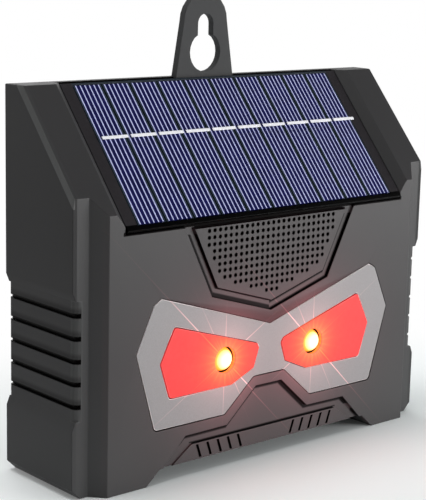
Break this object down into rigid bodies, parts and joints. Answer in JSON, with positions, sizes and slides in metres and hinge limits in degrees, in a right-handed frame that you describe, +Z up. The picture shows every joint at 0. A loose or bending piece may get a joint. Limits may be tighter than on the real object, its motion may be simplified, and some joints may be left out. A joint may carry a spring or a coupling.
{
  "type": "solar ultrasonic animal repeller",
  "caption": "Box that stands or hangs outdoors and drives animals off with ultrasound and flashing red eyes, charged by a sloping solar panel.",
  "frame": {"origin": "middle of the footprint, at the level the feet stand on", "axes": "+X to the right seen from the front, +Y to the flat back, +Z up"},
  "size_m": [0.15, 0.0408, 0.1486],
  "materials": {
    "casing_plastic": "dark grey moulded ABS with a fine spark texture",
    "ear_plastic": "dark grey moulded ABS",
    "black_rubber": "matt black silicone rubber",
    "panel_board": "black laminated panel, satin gloss",
    "cell_silicon": "dark blue silicon with pale printed fingers under a clear film",
    "mask_plastic": "pale grey moulded plastic, satin gloss",
    "lens_plastic": "red tinted plastic, gloss",
    "lamp_epoxy": "clear lamp epoxy, lit",
    "board_fibre": "green solder mask",
    "header_nylon": "natural nylon",
    "black_plastic": "black moulded plastic",
    "zinc_steel": "zinc plated steel",
    "cell_wrap": "plain blue shrink wrap",
    "contact_brass": "nickel washed brass",
    "cone_film": "pale plastic film"
  },
  "bodies": {
    "casing": {"front_casing": "casing_plastic", "back_cover": "casing_plastic", "casing_seal": "black_rubber", "hanging_tab": "ear_plastic", "solar_panel": "panel_board", "speaker_grille": "casing_plastic", "speaker_body": "black_plastic", "speaker_cone": "cone_film", "speaker_bracket": "black_plastic", "eye_mask": "mask_plastic", "eye_lens_left": "lens_plastic", "eye_lens_right": "lens_plastic", "led_board": "board_fibre", "main_board": "board_fibre", "controller_chip": "black_plastic", "driver_chip": "black_plastic", "choke_coil": "black_plastic", "storage_capacitor": "black_plastic", "usb_socket": "zinc_steel", "battery_cell": "cell_wrap", "battery_cradle": "black_plastic", "solar_cell_1": "cell_silicon", "solar_cell_2": "cell_silicon", "solar_cell_3": "cell_silicon", "solar_cell_4": "cell_silicon", "solar_cell_5": "cell_silicon", "solar_cell_6": "cell_silicon", "solar_cell_7": "cell_silicon", "solar_cell_8": "cell_silicon", "solar_cell_9": "cell_silicon", "solar_cell_10": "cell_silicon", "bracket_screw_1": "zinc_steel", "bracket_screw_2": "zinc_steel", "eye_led_1": "lamp_epoxy", "eye_led_2": "lamp_epoxy", "led_collar_1": "black_plastic", "led_collar_2": "black_plastic", "led_board_screw_1": "zinc_steel", "led_board_screw_2": "zinc_steel", "wire_socket_1": "header_nylon", "wire_socket_2": "header_nylon", "wire_socket_3": "header_nylon", "tact_switch_1": "black_plastic", "tact_switch_2": "black_plastic", "board_screw_1": "zinc_steel", "board_screw_2": "zinc_steel", "board_screw_3": "zinc_steel", "board_screw_4": "zinc_steel", "battery_contact_1": "contact_brass", "battery_contact_2": "contact_brass", "cradle_screw_1": "zinc_steel", "cradle_screw_2": "zinc_steel", "casing_screw_1": "zinc_steel", "casing_screw_2": "zinc_steel", "casing_screw_3": "zinc_steel", "casing_screw_4": "zinc_steel"},
    "power_button": {"power_button": "black_rubber"},
    "mode_button": {"mode_button": "black_rubber"},
    "usb_flap": {"usb_flap": "black_rubber"}
  },
  "joints": [
    {"name": "power_button_press", "type": "slide", "parent": "casing", "child": "power_button", "axis": [0, -1, 0], "range_m": [0, 0.0008], "stiffness_N_per_m": 300},
    {"name": "mode_button_press", "type": "slide", "parent": "casing", "child": "mode_button", "axis": [0, -1, 0], "range_m": [0, 0.0008], "stiffness_N_per_m": 300},
    {"name": "usb_flap_hinge", "type": "hinge", "parent": "casing", "child": "usb_flap", "pos_m": [0, 0.0195, 0.055], "axis": [1, 0, 0], "range_deg": [0, 110]}
  ]
}
